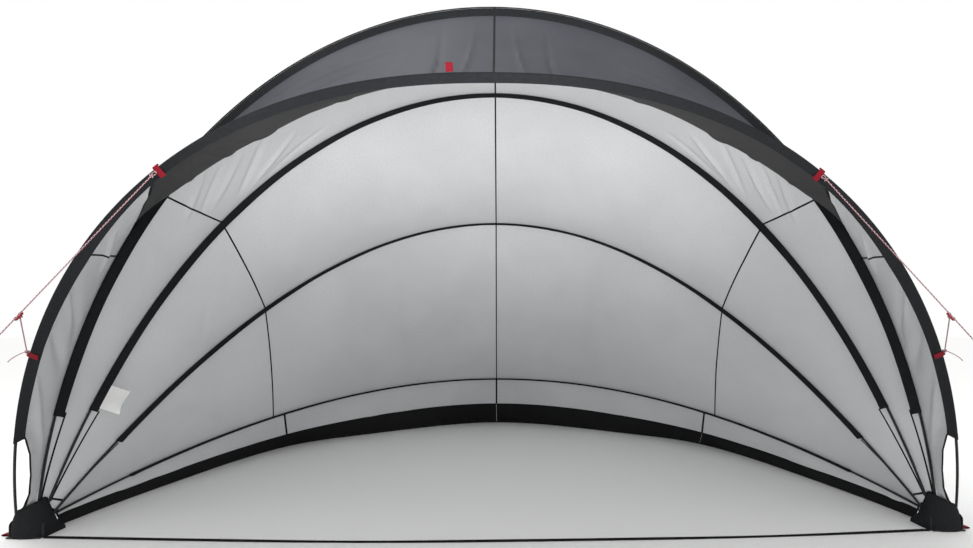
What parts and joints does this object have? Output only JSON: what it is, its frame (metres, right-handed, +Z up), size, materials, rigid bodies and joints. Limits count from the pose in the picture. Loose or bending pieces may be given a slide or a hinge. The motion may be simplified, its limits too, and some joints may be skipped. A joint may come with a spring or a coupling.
{
  "type": "pool dome",
  "caption": "Open-fronted half-dome canopy: bent poles fan from two ground hubs with fabric sewn between them, and fold back like a hood over the back of a pool.",
  "frame": {"origin": "on the ground, at the middle of the foot of the bounding box, midway between the hubs", "axes": "+Z up, -Y towards the open front, X along the line through the two hubs"},
  "size_m": [4.8968, 3.4212, 2.5175],
  "materials": {
    "silver_fabric": "coated polyester with a slight sheen",
    "charcoal_fabric": "matte polyester",
    "black_fabric": "matte polyester",
    "fibreglass": "satin black fibreglass rod",
    "black_plastic": "moulded",
    "red_webbing": "woven webbing",
    "guy_rope": "braided cord",
    "galvanised_steel": "galvanised",
    "label_cloth": "blank satin label"
  },
  "bodies": {
    "root": {"hub_left": "black_plastic", "hub_right": "black_plastic", "axle_left": "galvanised_steel", "axle_right": "galvanised_steel", "boot_left": "black_fabric", "boot_right": "black_fabric", "hub_tab_left": "red_webbing", "hub_tab_right": "red_webbing", "ground_strap": "black_fabric", "rear_pole": "fibreglass", "rear_sleeve": "black_fabric", "wall_left_side": "silver_fabric", "wall_left_back": "silver_fabric", "wall_right_back": "silver_fabric", "wall_right_side": "silver_fabric", "skirt_left_side": "black_fabric", "skirt_left_back": "black_fabric", "skirt_right_back": "black_fabric", "skirt_right_side": "black_fabric", "peg_left": "galvanised_steel", "peg_right": "galvanised_steel", "low_panel": "silver_fabric"},
    "low_arch": {"low_pole": "fibreglass", "low_sleeve": "black_fabric", "middle_panel": "silver_fabric"},
    "middle_arch": {"middle_pole": "fibreglass", "middle_sleeve": "black_fabric", "top_panel": "silver_fabric", "care_label": "label_cloth"},
    "top_arch": {"top_pole": "fibreglass", "top_sleeve": "black_fabric", "front_awning": "charcoal_fabric", "front_wing_left": "silver_fabric", "front_wing_right": "silver_fabric"},
    "front_arch": {"front_pole": "fibreglass", "front_sleeve": "black_fabric", "top_tag": "red_webbing", "guy_tag_left": "red_webbing", "guy_tag_right": "red_webbing", "tie_tag_left": "red_webbing", "tie_tag_right": "red_webbing", "guy_line_left": "guy_rope", "guy_line_right": "guy_rope", "tie_line_left": "guy_rope", "tie_line_right": "guy_rope", "slider_left": "red_webbing", "slider_right": "red_webbing"}
  },
  "joints": [
    {"name": "low_fold", "type": "hinge", "parent": "root", "child": "low_arch", "pos_m": [0, -0.90655, 0.05], "axis": [-1, 0, 0], "range_deg": [0, 34.1], "deforming": ["low_panel"]},
    {"name": "middle_fold", "type": "hinge", "parent": "low_arch", "child": "middle_arch", "pos_m": [0, -0.90655, 0.05], "axis": [-1, 0, 0], "range_deg": [0, 25.5], "deforming": ["middle_panel"]},
    {"name": "top_fold", "type": "hinge", "parent": "middle_arch", "child": "top_arch", "pos_m": [0, -0.90655, 0.05], "axis": [-1, 0, 0], "range_deg": [0, 13.5], "deforming": ["top_panel"]},
    {"name": "front_fold", "type": "hinge", "parent": "top_arch", "child": "front_arch", "pos_m": [0, -0.90655, 0.05], "axis": [-1, 0, 0], "range_deg": [0, 19.5], "deforming": ["front_awning", "front_wing_left", "front_wing_right", "guy_line_left", "guy_line_right", "tie_line_left", "tie_line_right", "slider_left", "slider_right"]}
  ]
}
